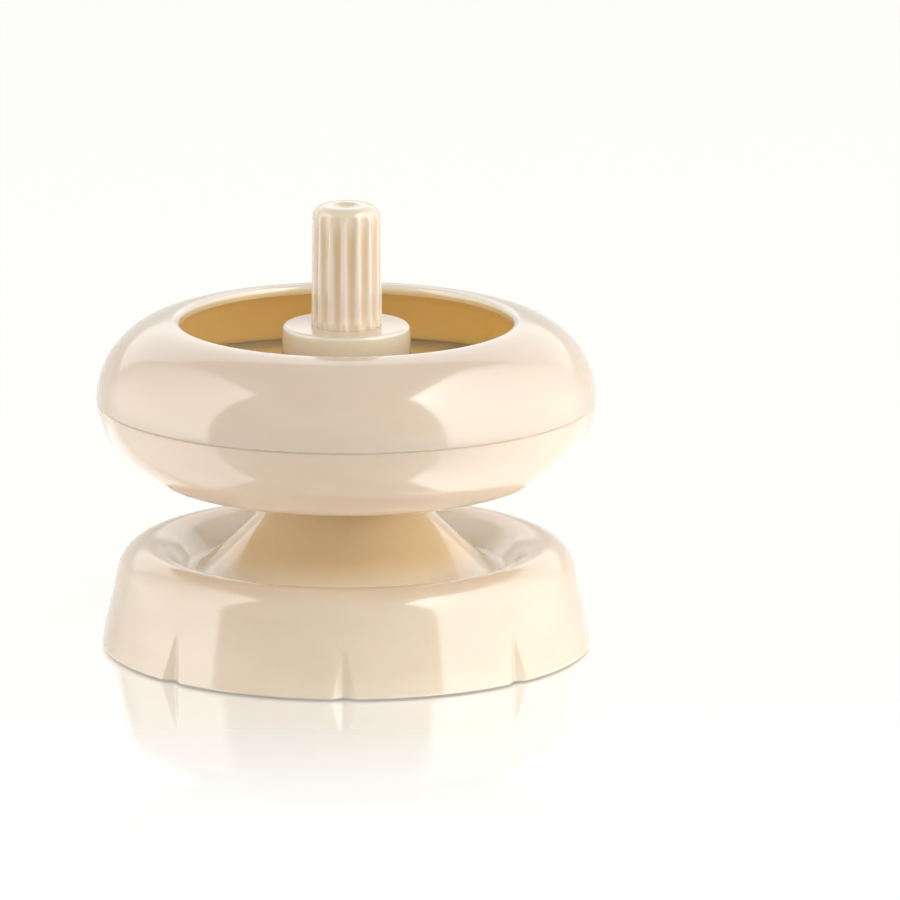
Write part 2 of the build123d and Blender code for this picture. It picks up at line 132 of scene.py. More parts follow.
floor_mesh = bpy.data.meshes.new("floor")
corners = [(-FLOOR_HALF, -FLOOR_HALF, 0), (FLOOR_HALF, -FLOOR_HALF, 0)]
corners += [(FLOOR_HALF, FLOOR_HALF, 0), (-FLOOR_HALF, FLOOR_HALF, 0)]
floor_mesh.from_pydata(corners, [], [(0, 1, 2, 3)])
floor = bpy.data.objects.new("floor", floor_mesh)
scene.collection.objects.link(floor)
print("floor is", 2 * FLOOR_HALF, "m wide")


# %% Acrylic sheet
def seen_directly(tree):
    """1 for what the camera or a mirror reflection sees, 0 for light bounced about."""
    path = add_node(tree, "ShaderNodeLightPath")
    return add_node(
        tree, "ShaderNodeMath", {"operation": "MAXIMUM"},
        links={0: path.outputs["Is Camera Ray"], 1: path.outputs["Is Glossy Ray"]},
    ).outputs[0]


acrylic, tree = new_material("white acrylic sheet")
place = add_node(tree, "ShaderNodeTexCoord")
split = add_node(tree, "ShaderNodeSeparateXYZ", links={0: place.outputs["Object"]})
fade = add_node(
    tree, "ShaderNodeMapRange", {"interpolation_type": "SMOOTHSTEP"},
    inputs={"From Min": -FADE_END, "From Max": -FADE_START, "To Min": 0.0, "To Max": MIRROR_SHARE},
    links={"Value": split.outputs["Y"]},
)
shaded = add_node(tree, "ShaderNodeBsdfDiffuse", inputs={"Color": SHEET_SHADE})
white = add_node(
    tree, "ShaderNodeEmission",
    inputs={"Color": hex_colour("FFFFFB"), "Strength": SHEET_WHITE},
)
shown = add_node(tree, "ShaderNodeAddShader", links={0: shaded.outputs[0], 1: white.outputs[0]})
matt = add_node(tree, "ShaderNodeBsdfDiffuse", inputs={"Color": SHEET_BOUNCE})
sheet = add_node(
    tree, "ShaderNodeMixShader",
    links={0: seen_directly(tree), 1: matt.outputs[0], 2: shown.outputs[0]},
)
mirror = add_node(
    tree, "ShaderNodeBsdfGlossy",
    inputs={"Color": (1, 1, 1, 1), "Roughness": MIRROR_ROUGHNESS},
)
mixed = add_node(
    tree, "ShaderNodeMixShader",
    links={0: fade.outputs[0], 1: sheet.outputs[0], 2: mirror.outputs[0]},
)
add_node(tree, "ShaderNodeOutputMaterial", links={"Surface": mixed.outputs[0]})
floor.data.materials.append(acrylic)
print("mirror share near the object:", MIRROR_SHARE)

# %% [markdown]
# ## Room
# The world plays two parts. As light it is an even, dim white room. To the camera and to mirror
# images it is the white paper behind the object, at a strength of exactly one.

# %% Room
ROOM_LIGHT = 0.47

world = bpy.data.worlds.new("studio")
world.use_nodes = True
scene.world = world
tree = world.node_tree
tree.nodes.clear()
room = add_node(
    tree, "ShaderNodeBackground",
    inputs={"Color": (1, 1, 1, 1), "Strength": ROOM_LIGHT},
)
paper = add_node(
    tree, "ShaderNodeBackground",
    inputs={"Color": hex_colour("FFFFFB"), "Strength": 1.0},
)
pick = add_node(
    tree, "ShaderNodeMixShader",
    links={0: seen_directly(tree), 1: room.outputs[0], 2: paper.outputs[0]},
)
add_node(tree, "ShaderNodeOutputWorld", links={"Surface": pick.outputs[0]})
print("room light:", ROOM_LIGHT)

# %% [markdown]
# ## Lamps
# The room gives about half of the light, as a light tent does. A soft box at the right and two
# in front shape it: the high one looks down into the bowl and the low one lights the skirt. Two
# strip lamps at the sides stand low, because only flat light gets through the gap between the
# bowl and the base and reaches the valley. No lamp is mirrored in the plastic.

# %% Soft boxes
scene.view_settings.view_transform = "Standard"
AIM = Vector((0, 0, 0.05))


def soft_box(name, place, width, height, power):
    """A rectangular lamp that faces the middle of the object and isn't mirrored."""
    data = bpy.data.lights.new(name, "AREA")
    data.shape = "RECTANGLE"
    data.size = width
    data.size_y = height
    data.energy = power
    lamp = bpy.data.objects.new(name, data)
    lamp.location = place
    lamp.rotation_euler = (AIM - Vector(place)).to_track_quat("-Z", "Y").to_euler()
    lamp.visible_glossy = False
    scene.collection.objects.link(lamp)


# Each line gives the place in metres, the width and height in metres, and the power in watts.
soft_box("right soft box", (0.95, -0.45, 0.45), 0.6, 0.8, 2.0)
soft_box("right strip lamp", (1.0, 0.05, 0.17), 0.5, 0.22, 2.3)
soft_box("left strip lamp", (-1.0, 0.05, 0.17), 0.5, 0.22, 1.6)
soft_box("front soft box", (0.2, -1.2, 0.25), 0.9, 0.4, 1.0)
soft_box("high front soft box", (0.1, -0.8, 0.85), 0.5, 0.4, 2.8)

# %% [markdown]
# ## Tent walls
# Glossy plastic shows the walls of a light tent. On the skirt one mirror image begins about sixty
# degrees left of the camera and the other about forty-five degrees right of it, with a warm gap
# between them, and a third wall behind lifts the far edges. They could be lit sheets of cloth.
# Plain sheets that only reflections see are easier to match, because their brightness leaves the
# light on the object alone. Each side wall is brightest at its front edge, and the right one also
# brightens upwards.

# %% Tent walls
def tent_wall(name, first, last, low, high, bright, dim, rise=1.0):
    """An upright sheet between two places on the floor, seen only in reflections."""
    mesh = bpy.data.meshes.new(name)
    near, far = first[1], last[1]
    corners = [(*first, low), (*last, low), (*last, high), (*first, high)]
    mesh.from_pydata(corners, [], [(0, 1, 2, 3)])
    wall = bpy.data.objects.new(name, mesh)
    scene.collection.objects.link(wall)
    cloth, tree = new_material(name + " cloth")
    path = add_node(tree, "ShaderNodeLightPath")
    place = add_node(tree, "ShaderNodeTexCoord")
    split = add_node(tree, "ShaderNodeSeparateXYZ", links={0: place.outputs["Object"]})
    fall = add_node(
        tree, "ShaderNodeMapRange",
        inputs={"From Min": near, "From Max": far + MM, "To Min": bright, "To Max": dim},
        links={"Value": split.outputs["Y"]},
    )
    lift = add_node(
        tree, "ShaderNodeMapRange",
        inputs={"From Min": low, "From Max": high, "To Min": 1.0, "To Max": rise},
        links={"Value": split.outputs["Z"]},
    )
    power = add_node(
        tree, "ShaderNodeMath", {"operation": "MULTIPLY"},
        links={0: fall.outputs[0], 1: lift.outputs[0]},
    )
    lit = add_node(
        tree, "ShaderNodeEmission", inputs={"Color": (1, 1, 1, 1)},
        links={"Strength": power.outputs[0]},
    )
    clear = add_node(tree, "ShaderNodeBsdfTransparent")
    mixed = add_node(
        tree, "ShaderNodeMixShader",
        links={0: path.outputs["Is Glossy Ray"], 1: clear.outputs[0], 2: lit.outputs[0]},
    )
    add_node(tree, "ShaderNodeOutputMaterial", links={"Surface": mixed.outputs[0]})
    cloth.cycles.emission_sampling = "NONE"
    mesh.materials.append(cloth)
    wall.visible_shadow = False


# Each line gives both ends, the foot and the top in metres, then the two strengths along it.
tent_wall("left_tent_wall", (-0.6, -0.30), (-0.6, 0.7), 0.0, 1.05, 5.0, 1.0)
tent_wall("right_tent_wall", (0.6, -0.60), (0.6, 0.7), 0.0, 1.4, 4.8, 1.0, rise=2.4)
tent_wall("back_tent_wall", (-0.9, 0.9), (0.9, 0.9), 0.27, 1.1, 2.0, 2.0)

# %% [markdown]
# ## ABS plastic
# The casings are injection-moulded ABS in cream. ABS has an IOR of about 1.54 and comes out of a
# polished mould with a roughness near 0.1. This one is milky: light goes a few millimetres in, red
# deepest, so a thin wall also glows warmly from light on its other side. A polished moulding is
# never one flat colour. The melt leaves pale flow bands, and the skin has a very shallow waviness
# that bends reflections. Where light bounces about between two cream walls, as inside the bowl, the
# plastic looks deep amber, and part of that comes by itself. The rest is painted light and shade, a
# list of tints, each mixed in by distance from the axis and by height: warm painted shade under and
# inside the bowl and in the knob's flutes, and pale painted light and highlights on shaded places,
# the lip and the knob's ridges.

# %% Where a point lies on the part
def radius_and_height(tree, point):
    """Distance of the shaded point from the upright axis, and its height, in metres."""
    split = add_node(tree, "ShaderNodeSeparateXYZ", links={0: point})
    flat = add_node(
        tree, "ShaderNodeCombineXYZ", links={0: split.outputs["X"], 1: split.outputs["Y"]}
    )
    span = add_node(
        tree, "ShaderNodeVectorMath", {"operation": "LENGTH"}, links={0: flat.outputs[0]}
    )
    return span.outputs["Value"], split.outputs["Z"]


def ramp(tree, value, start, end):
    """0 to 1 as a length goes from start to end, both in millimetres."""
    return add_node(
        tree, "ShaderNodeMapRange", {"interpolation_type": "SMOOTHSTEP"},
        inputs={"From Min": start * MM, "From Max": end * MM}, links={"Value": value},
    ).outputs[0]


print("tints can follow radius and height")

# %% Flow bands and tints of painted light and shade
BAND_LENGTH = 1000 / 14 * MM
BAND_HEIGHT = 1000 / 60 * MM


def flow_bands(tree, place):
    """Long, low clouds like those that the melt leaves."""
    flow = add_node(
        tree, "ShaderNodeMapping",
        inputs={"Scale": (1 / BAND_LENGTH, 1 / BAND_LENGTH, 1 / BAND_HEIGHT)},
        links={"Vector": place},
    )
    return add_node(
        tree, "ShaderNodeTexNoise",
        inputs={"Scale": 1.0, "Detail": 3.0, "Roughness": 0.5, "Distortion": 0.6},
        links={"Vector": flow.outputs[0]},
    ).outputs[0]


def tinted(tree, colour, place, tints):
    """A colour with painted light and shade mixed in, each tint where its radius and height say."""
    radius, height = radius_and_height(tree, place)
    for tint, across, upward in tints:
        share = add_node(
            tree, "ShaderNodeMath", {"operation": "MULTIPLY"},
            links={0: ramp(tree, radius, *across), 1: ramp(tree, height, *upward)},
        )
        colour = add_node(
            tree, "ShaderNodeMix", {"data_type": "RGBA"}, inputs={7: hex_colour(tint)},
            links={0: share.outputs[0], 6: colour},
        ).outputs[2]
    return colour


print("flow bands in mm:", round(BAND_LENGTH / MM), "long and", round(BAND_HEIGHT / MM), "high")

# %% ABS material
ABS_IOR = 1.54
SKIN_WAVE = 1000 / 90 * MM
SKIN_DEPTH = 0.2 * MM
MILKY_DEPTH = 5.5 * MM


def moulded_abs(name, light, dark, roughness, milky, tints=()):
    """Glossy moulded ABS with faint flow bands, a wavy skin, and painted light and shade by radius
    and height.
    """
    material, tree = new_material(name)
    place = add_node(tree, "ShaderNodeTexCoord").outputs["Object"]
    bands = flow_bands(tree, place)
    tone = add_node(tree, "ShaderNodeValToRGB", links={0: bands})
    first, last = tone.color_ramp.elements
    first.position, first.color = 0.3, hex_colour(dark)
    last.position, last.color = 0.7, hex_colour(light)
    skin = add_node(
        tree, "ShaderNodeTexNoise", inputs={"Scale": 1 / SKIN_WAVE, "Detail": 2.0, "Roughness": 0.4},
        links={"Vector": place},
    )
    bump = add_node(
        tree, "ShaderNodeBump", inputs={"Strength": 0.06, "Distance": SKIN_DEPTH},
        links={"Height": skin.outputs[0]},
    )
    gloss = add_node(
        tree, "ShaderNodeMapRange", inputs={"To Min": roughness * 0.8, "To Max": roughness * 1.3},
        links={"Value": bands},
    )
    body = add_node(
        tree, "ShaderNodeBsdfPrincipled",
        inputs={
            "IOR": ABS_IOR,
            "Subsurface Weight": milky,
            "Subsurface Radius": (1.0, 0.75, 0.5),
            "Subsurface Scale": MILKY_DEPTH,
        },
        links={
            "Base Color": tinted(tree, tone.outputs[0], place, tints),
            "Roughness": gloss.outputs[0],
            "Normal": bump.outputs[0],
        },
    )
    add_node(tree, "ShaderNodeOutputMaterial", links={"Surface": body.outputs[0]})
    return material


print("ABS with an IOR of", ABS_IOR)

# %% [markdown]
# ## Cream with painted light and shade
# Each tint below is a colour with the two radii and the two heights in millimetres between which
# it comes in. The bowl's outside gets pale painted light on its shaded underside, the upper shell a
# painted highlight at its lip, and the base pale painted light in its valley and golden painted
# shade on its cone. The knob gets golden painted shade in its flutes and painted highlights on its
# ridges. The inside of the bowl gets amber painted shade, apart from the top of the column, which
# gets pale painted light.

# %% ABS finishes
ANY_HEIGHT = (-1, 0)
CREAM = ("ECD8C1", "E4CDB4")
# Amber painted shade inside the bowl, golden painted shade on the cone, pale painted light in shade.
WARM_PAINTED_SHADE, CONE_PAINTED_SHADE, PALE_PAINTED_LIGHT = "FFDFB4", "ECCEA2", "FFF9F0"
GLOSS, WELL_GLOSS = 0.11, 0.13
# The bowl's outside, with pale painted light on its shaded underside near the bottom.
cream_abs = moulded_abs("cream ABS", *CREAM, GLOSS, 0.25, [(PALE_PAINTED_LIGHT, (39, 31), (46, 42))])
# The upper shell, with a painted highlight on the rounding of its lip.
lip_painted_highlight_abs = moulded_abs("cream ABS with a painted highlight on the lip", *CREAM, GLOSS, 0.25,
                      [("F6E9D8", (39.5, 37), (68, 71))])
# The knob, with golden painted shade in its flutes and painted highlights on its ridges.
knob_painted_shade_and_highlight_abs = moulded_abs("cream ABS with milky ridges", "F2E2C8", "EAD6B8", GLOSS, 0.25,
                       [("E6CAA0", (7.35, 7.1), (97, 91)), ("FDF2E2", (7.3, 7.6), (73, 74))])
# The base, with pale painted light in its valley under the bowl and golden painted shade on its cone.
base_painted_light_and_shade_abs = moulded_abs("cream ABS with an amber cone", *CREAM, GLOSS, 0.5,
                       [(PALE_PAINTED_LIGHT, (44, 38), (5, 9)), (CONE_PAINTED_SHADE, (38, 24), ANY_HEIGHT)])
# Inside the bowl: amber painted shade, and pale painted light on the top of the column.
well_painted_shade_abs = moulded_abs("cream ABS with amber painted shade inside the bowl", *CREAM, WELL_GLOSS, 0.9,
                       [("FFEEDA", (15, 14.6), (64, 67)), (WARM_PAINTED_SHADE, (14.6, 14), (66, 57)),
                        (WARM_PAINTED_SHADE, (14.9, 16), ANY_HEIGHT)])
print("made", cream_abs.name, "and four tinted ones")

# %% [markdown]
# ## Turned shapes
# Nearly every piece is round, so its surface is one outline swept about the axis. A helper turns
# a list of corners, each with its own rounding, into a smooth outline, and another sweeps it.
# Where the real moulding is not round, as at the pinched notches or the flutes, a small function
# moves the swept points in or out.

# %% Arcs and rounded corners
ARC_STEP = math.radians(6)


def arc(centre_r, centre_z, radius, start, end):
    """Points along an arc from one angle to another, in degrees."""
    first, last = math.radians(start), math.radians(end)
    steps = max(2, math.ceil(abs(last - first) / ARC_STEP))
    turns = [first + (last - first) * i / steps for i in range(steps + 1)]
    return [(centre_r + radius * math.cos(t), centre_z + radius * math.sin(t)) for t in turns]


def round_corner(before, corner, after, radius):
    """The points that round one corner of an outline with a radius."""
    here = Vector(corner)
    back_way = (Vector(before) - here).normalized()
    next_way = (Vector(after) - here).normalized()
    half = back_way.angle(next_way) / 2
    reach = radius / math.tan(half)
    centre = here + (back_way + next_way).normalized() * radius / math.sin(half)
    start = here + back_way * reach - centre
    turn = math.pi - 2 * half
    side = 1 if back_way.cross(next_way) < 0 else -1
    steps = max(2, math.ceil(turn / ARC_STEP))
    points = []
    for i in range(steps + 1):
        angle = side * turn * i / steps
        c, s = math.cos(angle), math.sin(angle)
        points.append((centre.x + start.x * c - start.y * s, centre.y + start.x * s + start.y * c))
    return points


print("arcs are drawn in steps of", round(math.degrees(ARC_STEP)), "degrees")


# %% Whole outline
def outline(corners, closed=True):
    """An outline of radius and height from corners, each with an optional rounding."""
    points = []
    count = len(corners)
    for i, corner in enumerate(corners):
        flat = corner[:2]
        rounding = corner[2] if len(corner) > 2 else 0
        if rounding and (closed or 0 < i < count - 1):
            before = corners[i - 1][:2]
            after = corners[(i + 1) % count][:2]
            points += round_corner(before, flat, after, rounding)
        else:
            points.append(flat)
    return points


print("a square has", len(outline([(1, 0), (2, 0), (2, 1), (1, 1)])), "corners")

# %% Sweep helper
SHARP_ANGLE = math.radians(38)


def sweep(name, points, angles, closed=True, shape=None):
    """A mesh swept about the spin axis from an outline in millimetres."""
    vertices, rings = [], []
    for r, z in points:
        if r == 0:
            rings.append([len(vertices)] * len(angles))
            vertices.append((0, 0, z * MM))
            continue
        ring = []
        for angle in angles:
            moved = shape(r, z, angle) if shape else r
            ring.append(len(vertices))
            vertices.append((moved * math.cos(angle) * MM, moved * math.sin(angle) * MM, z * MM))
        rings.append(ring)
    faces = []
    pairs = len(rings) if closed else len(rings) - 1
    for i in range(pairs):
        low, high = rings[i], rings[(i + 1) % len(rings)]
        for j in range(len(angles)):
            k = (j + 1) % len(angles)
            face = [low[j], low[k], high[k], high[j]]
            faces.append([v for n, v in enumerate(face) if v not in face[:n]])
    mesh = bpy.data.meshes.new(name)
    mesh.from_pydata(vertices, [], faces)
    mesh.polygons.foreach_set("use_smooth", [True] * len(mesh.polygons))
    mesh.set_sharp_from_angle(angle=SHARP_ANGLE)
    piece = bpy.data.objects.new(name, mesh)
    scene.collection.objects.link(piece)
    return piece


def even_turn(count):
    """Angles spaced evenly round the axis."""
    return [2 * math.pi * i / count for i in range(count)]


print("edges sharper than", round(math.degrees(SHARP_ANGLE)), "degrees stay sharp")

# %% Inside of the bowl
HOLLOW_RADIUS = 13


def paint_shade_inside(piece, heart, floor_z, material):
    """Gives the faces that look at the middle of the bowl's trough a second material, which carries
    the painted shade.
    """
    piece.data.materials.append(material)
    inside = 0
    for face in piece.data.polygons:
        r = math.hypot(face.center.x, face.center.y) / MM
        outward = (face.normal.x * face.center.x + face.normal.y * face.center.y) / (r * MM)
        looks_in = outward * (heart[0] - r) + face.normal.z * (heart[1] - face.center.z / MM) > 0
        if looks_in and r > HOLLOW_RADIUS and face.center.z / MM > floor_z:
            face.material_index = 1
            inside += 1
    return inside


print("faces closer to the axis than", HOLLOW_RADIUS, "mm stay cream")

# %% [markdown]
# ## Base shell
# The base is one thin moulding: a leaning skirt, a fat rounded crest, a valley and a cone. Eight
# pinches gather the skirt at its lower edge like cloth. It could be built up from a cylinder with
# extra loops, but an outline swept about the axis keeps every radius, slope and wall as built.

# %% Base sizes
VALLEY_RADIUS = 34.4
CREST_RADIUS = VALLEY_RADIUS + 9.2
CREST_HEIGHT = 22.8
SHOULDER_RADIUS = 6.9
SKIRT_DRAFT = math.radians(12.1)
CREST_INNER_SLOPE = math.radians(50)
CONE_TOP = Vector((13.0, 35.5))
CONE_HOLLOW = 0.35
CONE_EDGE_ROUND = 1.2
VALLEY_ROUND = 2.0
BASE_WALL = 2.4
SKIRT_BOTTOM = 0.3
SKIRT_EDGE_ROUND = 0.6
BOSS_RADIUS = 10.0
BOSS_BOTTOM = 11.0
SOCKET_RADIUS = 6.05
SOCKET_BOTTOM = 14.0
SPINDLE_SCREW_HOLE = 2.55
SOCKET_ROUND = 0.2
INNER_EDGE_ROUND = 0.2
print("the base is", CONE_TOP.y, "mm high at the cone's top")


# %% Lines of the skirt and the crest
def skirt_radius(z, inset=0.0):
    """Radius of the skirt's outer line at a height, less an inset of the wall."""
    lean = SKIRT_DRAFT
    end_r = CREST_RADIUS + SHOULDER_RADIUS * math.cos(lean)
    end_z = CREST_HEIGHT - SHOULDER_RADIUS + SHOULDER_RADIUS * math.sin(lean)
    return end_r + (end_z - z) * math.tan(lean) - inset / math.cos(lean)


def flank_radius(z, inset):
    """Radius of the crest's straight inner flank at a height."""
    turn = math.pi / 2 + CREST_INNER_SLOPE
    end_r = CREST_RADIUS + (SHOULDER_RADIUS - inset) * math.cos(turn)
    end_z = CREST_HEIGHT - SHOULDER_RADIUS + (SHOULDER_RADIUS - inset) * math.sin(turn)
    return end_r - (end_z - z) / math.tan(CREST_INNER_SLOPE)


print("radius of the skirt at the table in mm:", round(skirt_radius(0), 2))

# %% Line of the cone
VALLEY_SEARCH = 0.002
valley_z = 0.0
while flank_radius(valley_z, 0) < VALLEY_RADIUS:
    valley_z += VALLEY_SEARCH
chord = Vector((VALLEY_RADIUS, valley_z)) - CONE_TOP
dish_radius = chord.length**2 / (8 * CONE_HOLLOW) + CONE_HOLLOW / 2
dish_centre = (CONE_TOP + Vector((VALLEY_RADIUS, valley_z))) / 2
dish_centre += Vector((-chord.y, chord.x)).normalized() * (dish_radius - CONE_HOLLOW)


def cone_radius(z, inset):
    """Radius of the dished cone at a height."""
    return dish_centre.x - math.sqrt((dish_radius + inset) ** 2 - (dish_centre.y - z) ** 2)


print("the valley lies", round(valley_z, 2), "mm up")

# %% Section of the base
CONE_POINTS = 8
CONE_FIRST = 0.24
CONE_STEP = 0.095
HALVINGS = 40
TOP_WALL_SHARE = 0.7


def base_skin(inset, bottom):
    """The base's section line from the skirt's edge over the crest to the cone's top."""
    skirt_0, flank_0 = skirt_radius(0, inset), flank_radius(0, inset)
    skirt_lean, flank_lean = math.tan(SKIRT_DRAFT), 1 / math.tan(CREST_INNER_SLOPE)
    apex_z = (skirt_0 - flank_0) / (skirt_lean + flank_lean)
    corner = (skirt_0 - apex_z * skirt_lean, apex_z, SHOULDER_RADIUS - inset)
    low, high = 0.0, CREST_HEIGHT
    for _ in range(HALVINGS):
        z = (low + high) / 2
        if flank_radius(z, inset) > cone_radius(z, inset):
            high = z
        else:
            low = z
    valley = (flank_radius(low, inset), low, VALLEY_ROUND + inset)
    rise = CONE_TOP.y - inset * TOP_WALL_SHARE - low
    heights = [low + rise * (CONE_FIRST + CONE_STEP * i) for i in range(CONE_POINTS)]
    cone = [(cone_radius(z, inset), z) for z in heights]
    return [(skirt_radius(bottom, inset), bottom), corner, valley, *cone]


outer = base_skin(0.0, SKIRT_BOTTOM)
inner = base_skin(BASE_WALL, SKIRT_BOTTOM)
print("corners of the outer and inner skin:", len(outer), len(inner))

# %% [markdown]
# ## Pinches
# A pinch is a straight crease whose two flanks run out into the skirt. It could be cut with a
# wedge and rounded afterwards. Moving the swept points gives the same form without a cut: the
# depth fades upwards, the crease is a rounded V and a soft limit blends it into the skirt.

# %% Pinches
NOTCH_COUNT = 8
NOTCH_TURN = math.radians(-0.5)
NOTCH_LENGTH = 12.0
NOTCH_HALF_WIDTH = 2.7
NOTCH_DEPTH = 1.5
NOTCH_ROUND = 1.3
SHOULDER_SOFTNESS = 0.05
EXPONENT_LIMIT = 60.0


def pinched(r, z, angle):
    """Moves the skirt's outer skin in at each pinch."""
    if z > NOTCH_LENGTH or r < skirt_radius(z) - BASE_WALL / 2:
        return r
    pitch = 2 * math.pi / NOTCH_COUNT
    offset = (angle - NOTCH_TURN + math.pi / 2 + pitch / 2) % pitch - pitch / 2
    slope = NOTCH_DEPTH / NOTCH_HALF_WIDTH
    soft = NOTCH_ROUND * math.sqrt(1 + slope**2) - NOTCH_ROUND
    across = abs(offset) * r * slope
    depth = NOTCH_DEPTH * (1 - z / NOTCH_LENGTH)
    cut = depth + soft / 2 - math.sqrt(across**2 + soft**2)
    limited = min(cut / SHOULDER_SOFTNESS, EXPONENT_LIMIT)
    return r - SHOULDER_SOFTNESS * math.log1p(math.exp(limited))


print("pinches:", NOTCH_COUNT, "each", NOTCH_LENGTH, "mm long")

# %% Angles of the base
NOTCH_SPAN = math.radians(4.2)
SPAN_STEPS = 24
REST_STEPS = 20
rest = 2 * math.pi / NOTCH_COUNT - 2 * NOTCH_SPAN
base_angles = []
for k in range(NOTCH_COUNT):
    heart = NOTCH_TURN - math.pi / 2 + 2 * math.pi * k / NOTCH_COUNT
    base_angles += [heart + NOTCH_SPAN * i / SPAN_STEPS for i in range(-SPAN_STEPS, SPAN_STEPS)]
    base_angles += [heart + NOTCH_SPAN + rest * i / REST_STEPS for i in range(REST_STEPS)]
print("angles, closer together at the pinches:", len(base_angles))

# %% Base shell
SKIRT_FIRST_STEP = 1.6
SKIRT_STEP = 0.9
SKIRT_STEPS = 13
skirt_heights = [SKIRT_FIRST_STEP + SKIRT_STEP * i for i in range(SKIRT_STEPS)]
skirt_steps = [(skirt_radius(z), z) for z in skirt_heights]
inner_cone = [p for p in inner[3:] if p[0] > BOSS_RADIUS]
base_corners = [(*outer[0], SKIRT_EDGE_ROUND), *skirt_steps, *outer[1:], (*CONE_TOP, CONE_EDGE_ROUND)]
base_corners += [(SOCKET_RADIUS, CONE_TOP.y, SOCKET_ROUND), (SOCKET_RADIUS, SOCKET_BOTTOM)]
base_corners += [(SPINDLE_SCREW_HOLE, SOCKET_BOTTOM), (SPINDLE_SCREW_HOLE, BOSS_BOTTOM)]
base_corners += [(BOSS_RADIUS, BOSS_BOTTOM), (BOSS_RADIUS, inner_cone[-1][1])]
base_corners += [*inner_cone[::-1], inner[2], inner[1], (*inner[0], INNER_EDGE_ROUND)]
base_shell = sweep("base_moulding", outline(base_corners), base_angles, shape=pinched)
base_shell.data.materials.append(base_painted_light_and_shade_abs)
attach(base_shell, "base")
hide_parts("base_shell")
print("base faces:", len(base_shell.data.polygons))

# %% [markdown]
# ## Bowl
# The bowl is a hollow ring closed at the bottom, moulded in two shells that snap together at the
# fine line round its widest part. The upper shell leans over the beads and ends in a soft lip. The
# lower one carries the column in the middle. A torus cut in two would come close, but arcs through
# the built radii give each shell its own wall, and the seam its small groove.

# %% Bowl sizes
BOWL_RADIUS = 55.0
BOWL_BOTTOM = 37.5
BOWL_TOP = BOWL_BOTTOM + 35.6
SEAM_HEIGHT = BOWL_BOTTOM + 17.8
COLUMN_HEIGHT = BOWL_BOTTOM + 34.5
BELLY_RADIUS = 19.7
BROW_RADIUS = BOWL_TOP - SEAM_HEIGHT
BOWL_WALL = 2.2
MOUTH_RADIUS = 36.6
LIP_ROUND = 1.3
LIP_UNDER_ROUND = 0.3
SEAM_GROOVE = 0.3
SEAM_GAP = 0.05
TONGUE_HEIGHT = 2.0
TONGUE_THICKNESS = 1.1
BELLY_CENTRE = (BOWL_RADIUS - BELLY_RADIUS, BOWL_BOTTOM + BELLY_RADIUS)
BROW_CENTRE = (BOWL_RADIUS - BROW_RADIUS, BOWL_TOP - BROW_RADIUS)
TROUGH_HEART = (31.0, 56.0)
COLUMN_FOOT_RADIUS = 14.8
COLUMN_FOOT_ROUND = 10.0
COLUMN_TOP_RADIUS = 14.0
COLUMN_EDGE_ROUND = 0.9
TOP_WALL = 3.0
KNOB_SOCKET = 5.05
SPACE_RADIUS = 9.5
BORE_RADIUS = 11.02
BORE_TOP = BOWL_BOTTOM + 25
RECESS_RADIUS = 18.05
RECESS_TOP = BOWL_BOTTOM + 3
RECESS_ROUND = 0.3
TONGUE_ROUND = 0.2
ROUND_STEPS = 256


def rise_angle(centre_z, radius, z):
    """The angle on an arc at which it passes a height."""
    return math.degrees(math.asin((z - centre_z) / radius))


def belly(radius, low_angle, z):
    """The lower shell's round up to a height."""
    return arc(*BELLY_CENTRE, radius, low_angle, rise_angle(BELLY_CENTRE[1], radius, z))


print("the bowl is", round(BOWL_TOP - BOWL_BOTTOM, 1), "mm high")

# %% Lower shell of the bowl
inner_belly = BELLY_RADIUS - BOWL_WALL
rim = SEAM_HEIGHT + TONGUE_HEIGHT
seam_inner = belly(inner_belly, -90, SEAM_HEIGHT)[-1][0]
tongue = seam_inner + TONGUE_THICKNESS
outer_belly = belly(BELLY_RADIUS, -90, SEAM_HEIGHT - SEAM_GROOVE)
floor_z = BOWL_BOTTOM + BOWL_WALL
floor_slack = 0.1
seam_foot = outer_belly[-1][0] - SEAM_GROOVE
lower_corners = [(RECESS_RADIUS, BOWL_BOTTOM, RECESS_ROUND), *outer_belly, (seam_foot, SEAM_HEIGHT)]
lower_corners += [(tongue, SEAM_HEIGHT), (tongue, rim, TONGUE_ROUND)]
lower_corners += belly(inner_belly, -90, rim)[::-1]
lower_corners += [(COLUMN_FOOT_RADIUS, floor_z, COLUMN_FOOT_ROUND)]
lower_corners += [(COLUMN_TOP_RADIUS, COLUMN_HEIGHT, COLUMN_EDGE_ROUND)]
lower_corners += [(KNOB_SOCKET, COLUMN_HEIGHT), (KNOB_SOCKET, COLUMN_HEIGHT - TOP_WALL)]
lower_corners += [(SPACE_RADIUS, COLUMN_HEIGHT - TOP_WALL), (SPACE_RADIUS, BORE_TOP)]
lower_corners += [(BORE_RADIUS, BORE_TOP), (BORE_RADIUS, RECESS_TOP), (RECESS_RADIUS, RECESS_TOP)]
bowl_lower = sweep("bowl_lower_moulding", outline(lower_corners), even_turn(ROUND_STEPS))
bowl_lower.data.materials.append(cream_abs)
# The faces inside the trough take the amber painted shade.
painted_shade_faces = paint_shade_inside(bowl_lower, TROUGH_HEART, floor_z - floor_slack, well_painted_shade_abs)
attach(bowl_lower, "bowl")
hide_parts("bowl_lower")
print("lower shell faces:", len(bowl_lower.data.polygons), "of which inside:", painted_shade_faces)

